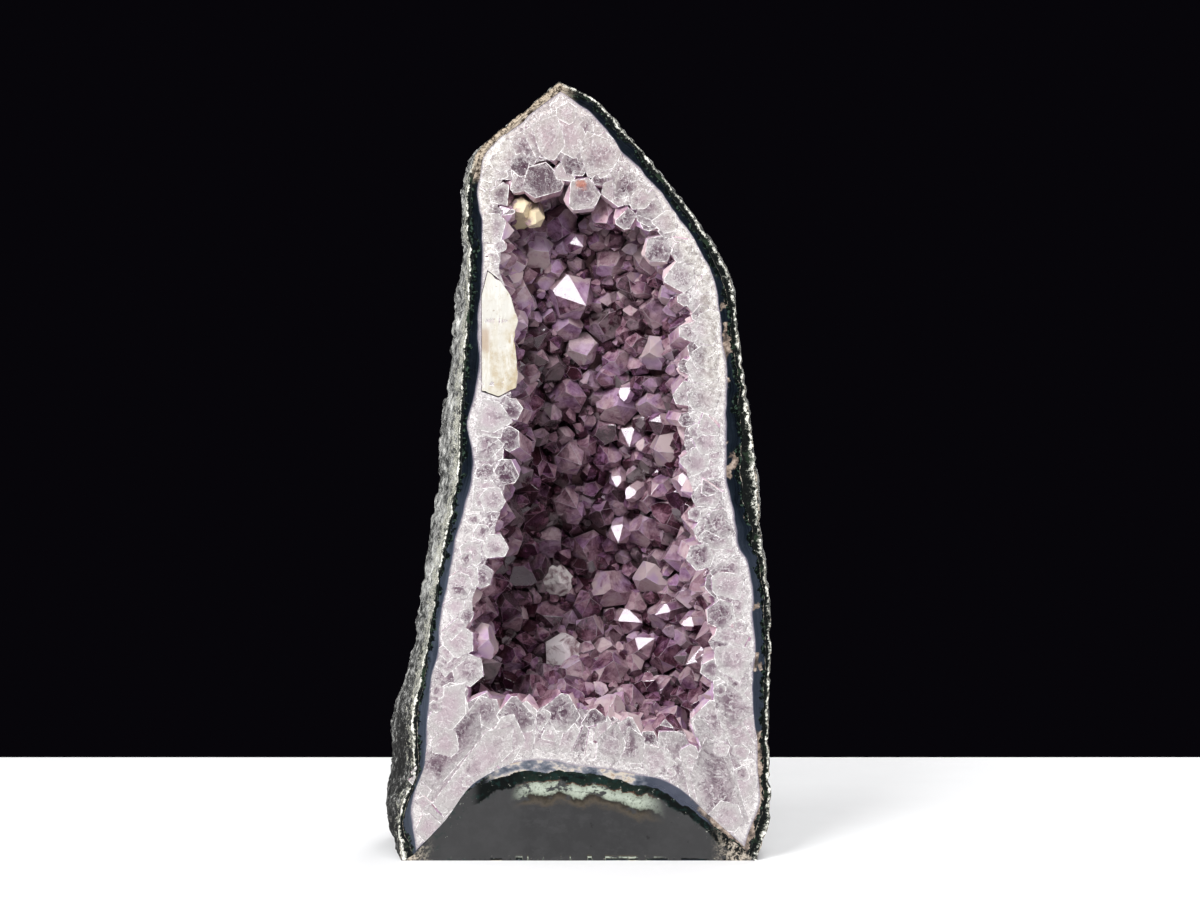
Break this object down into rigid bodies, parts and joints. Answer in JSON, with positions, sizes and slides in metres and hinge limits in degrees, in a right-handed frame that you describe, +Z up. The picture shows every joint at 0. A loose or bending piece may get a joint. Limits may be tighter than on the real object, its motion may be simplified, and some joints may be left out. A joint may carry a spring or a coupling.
{
  "type": "amethyst cathedral geode",
  "caption": "Tall pointed half geode, sawn open in front and flat at its foot: rough basalt, a dark agate band and a hollow lined with amethyst points.",
  "frame": {"origin": "middle of the sawn foot, on the surface that the geode stands on", "axes": "+Z up to the point of the geode, -Y out of the sawn face and the hollow, +X to the right as seen from the front"},
  "size_m": [0.201, 0.1502, 0.4],
  "materials": {
    "basalt": "rough natural basalt, with its sawn faces polished dark grey",
    "agate": "polished banded chalcedony, dark blue-grey with green next to the rock",
    "amethyst": "clear purple quartz points on milky quartz, glossy crystal faces",
    "calcite": "opaque cream calcite, sawn smooth"
  },
  "bodies": {
    "root": {"basalt_rind": "basalt", "agate_band": "agate", "crystal_crust": "amethyst", "calcite_block": "calcite"}
  },
  "joints": []
}
